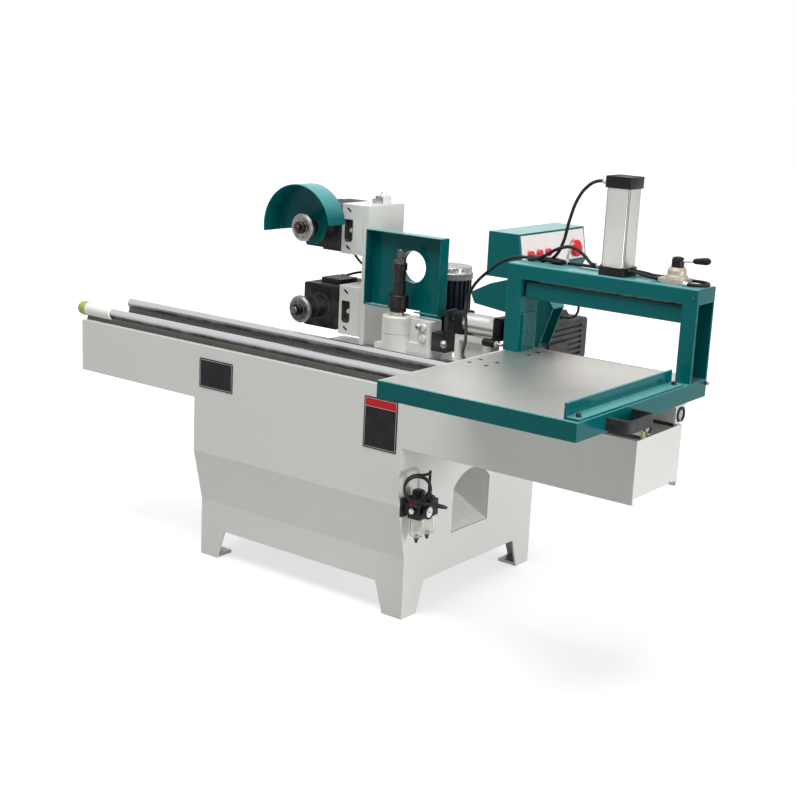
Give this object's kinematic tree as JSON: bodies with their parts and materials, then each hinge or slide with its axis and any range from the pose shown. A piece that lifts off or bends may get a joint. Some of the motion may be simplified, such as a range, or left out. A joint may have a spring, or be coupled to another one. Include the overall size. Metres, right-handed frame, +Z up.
{
  "type": "tenoning machine",
  "caption": "Woodworking tenoning machine: cabinet with a long beam, sliding clamp table on round rails, paired horizontal heads, vertical spindle and trimming saw.",
  "frame": {"origin": "centre of the four anchor holes, on the floor", "axes": "+X along the beam to the operator's right, +Y away from the operator, +Z up"},
  "size_m": [2.159, 1.243, 1.302],
  "materials": {
    "white_paint": "satin",
    "teal_paint": "satin",
    "black_paint": "satin",
    "steel": "ground",
    "chrome": "polished",
    "alloy": "anodised",
    "die_cast": "cast",
    "nylon": "matte",
    "yellow_rubber": "matte",
    "black_rubber": "matte",
    "black_plastic": "matte",
    "panel": "satin",
    "clear": "clear",
    "red_plastic": "gloss"
  },
  "bodies": {
    "machine": {"cabinet": "white_paint", "chip_chute": "white_paint", "foot_plates": "steel", "beam": "white_paint", "rails": "chrome", "rail_seats": "alloy", "stop_sleeve": "nylon", "bumper": "yellow_rubber", "name_plate": "black_plastic", "notice_plate": "black_plastic", "column": "white_paint", "screw_block": "steel", "saw_bracket": "white_paint", "saw_motor": "black_paint", "saw_hood": "teal_paint", "control_post": "white_paint", "control_box": "teal_paint", "control_panel": "panel", "slideway": "steel", "cylinder_seat": "white_paint", "shift_cylinder": "alloy", "air_unit": "black_plastic", "air_bowls": "clear", "air_gauge": "panel", "air_coil": "black_rubber"},
    "table": {"table_frame": "teal_paint", "table_plate": "steel", "bearing_blocks": "white_paint", "seal_rings": "black_rubber", "fence": "teal_paint", "fence_bolts": "black_paint", "handle": "black_paint", "gantry": "teal_paint", "post_plate": "teal_paint", "clamp_cylinder": "alloy", "hand_valve": "die_cast", "air_hoses": "black_rubber"},
    "clamp": {"press_beam": "teal_paint", "piston_rod": "chrome"},
    "valve_lever": {"valve_lever": "black_plastic"},
    "upper_head": {"upper_bracket": "white_paint", "upper_motor": "black_paint", "upper_guard": "teal_paint"},
    "upper_spindle": {"upper_arbor": "steel"},
    "lower_head": {"lower_bracket": "white_paint", "lower_motor": "black_paint"},
    "lower_spindle": {"lower_arbor": "steel"},
    "carriage": {"carriage": "white_paint", "spindle_housing": "white_paint", "chip_hood": "teal_paint", "spindle_motor": "black_paint", "shift_rod": "black_paint"},
    "spindle": {"spindle_arbor": "black_paint"},
    "saw": {"saw_arbor": "steel"},
    "stop_button": {"stop_button": "red_plastic"},
    "start_button_1": {"start_button_1": "red_plastic"},
    "start_button_2": {"start_button_2": "red_plastic"},
    "start_button_3": {"start_button_3": "red_plastic"},
    "air_knob": {"air_knob": "black_plastic"}
  },
  "joints": [
    {"name": "table_slide", "type": "slide", "parent": "machine", "child": "table", "axis": [1, 0, 0], "range_m": [-1.4, 0]},
    {"name": "clamp_slide", "type": "slide", "parent": "table", "child": "clamp", "axis": [0, 0, 1], "range_m": [-0.145, 0]},
    {"name": "valve_turn", "type": "hinge", "parent": "table", "child": "valve_lever", "pos_m": [1.059, -0.133, 1.084], "axis": [0, 0, 1], "range_deg": [-45, 45]},
    {"name": "upper_lift", "type": "slide", "parent": "machine", "child": "upper_head", "axis": [0, 0, 1], "range_m": [-0.06, 0]},
    {"name": "upper_spin", "type": "hinge", "parent": "upper_head", "child": "upper_spindle", "pos_m": [-0.311, 0, 1.026], "axis": [0, 1, 0], "continuous": true},
    {"name": "lower_lift", "type": "slide", "parent": "machine", "child": "lower_head", "axis": [0, 0, 1], "range_m": [-0.03, 0.02]},
    {"name": "lower_spin", "type": "hinge", "parent": "lower_head", "child": "lower_spindle", "pos_m": [-0.311, 0, 0.763], "axis": [0, 1, 0], "continuous": true},
    {"name": "carriage_shift", "type": "slide", "parent": "machine", "child": "carriage", "axis": [1, 0, 0], "range_m": [-0.05, 0]},
    {"name": "spindle_spin", "type": "hinge", "parent": "carriage", "child": "spindle", "pos_m": [0.061, 0.03, 0.8], "axis": [0, 0, 1], "continuous": true},
    {"name": "saw_spin", "type": "hinge", "parent": "machine", "child": "saw", "pos_m": [0.505, 0, 0.769], "axis": [0, 1, 0], "continuous": true},
    {"name": "stop_press", "type": "slide", "parent": "machine", "child": "stop_button", "axis": [-0.9848, 0, -0.1736], "range_m": [0, 0.005], "stiffness_N_per_m": 900},
    {"name": "start_press_1", "type": "slide", "parent": "machine", "child": "start_button_1", "axis": [-0.9848, 0, -0.1736], "range_m": [0, 0.004], "stiffness_N_per_m": 600},
    {"name": "start_press_2", "type": "slide", "parent": "machine", "child": "start_button_2", "axis": [-0.9848, 0, -0.1736], "range_m": [0, 0.004], "stiffness_N_per_m": 600},
    {"name": "start_press_3", "type": "slide", "parent": "machine", "child": "start_button_3", "axis": [-0.9848, 0, -0.1736], "range_m": [0, 0.004], "stiffness_N_per_m": 600},
    {"name": "air_knob_turn", "type": "hinge", "parent": "machine", "child": "air_knob", "pos_m": [0.44, -0.342, 0.386], "axis": [0, 0, 1], "range_deg": [-150, 150]}
  ]
}
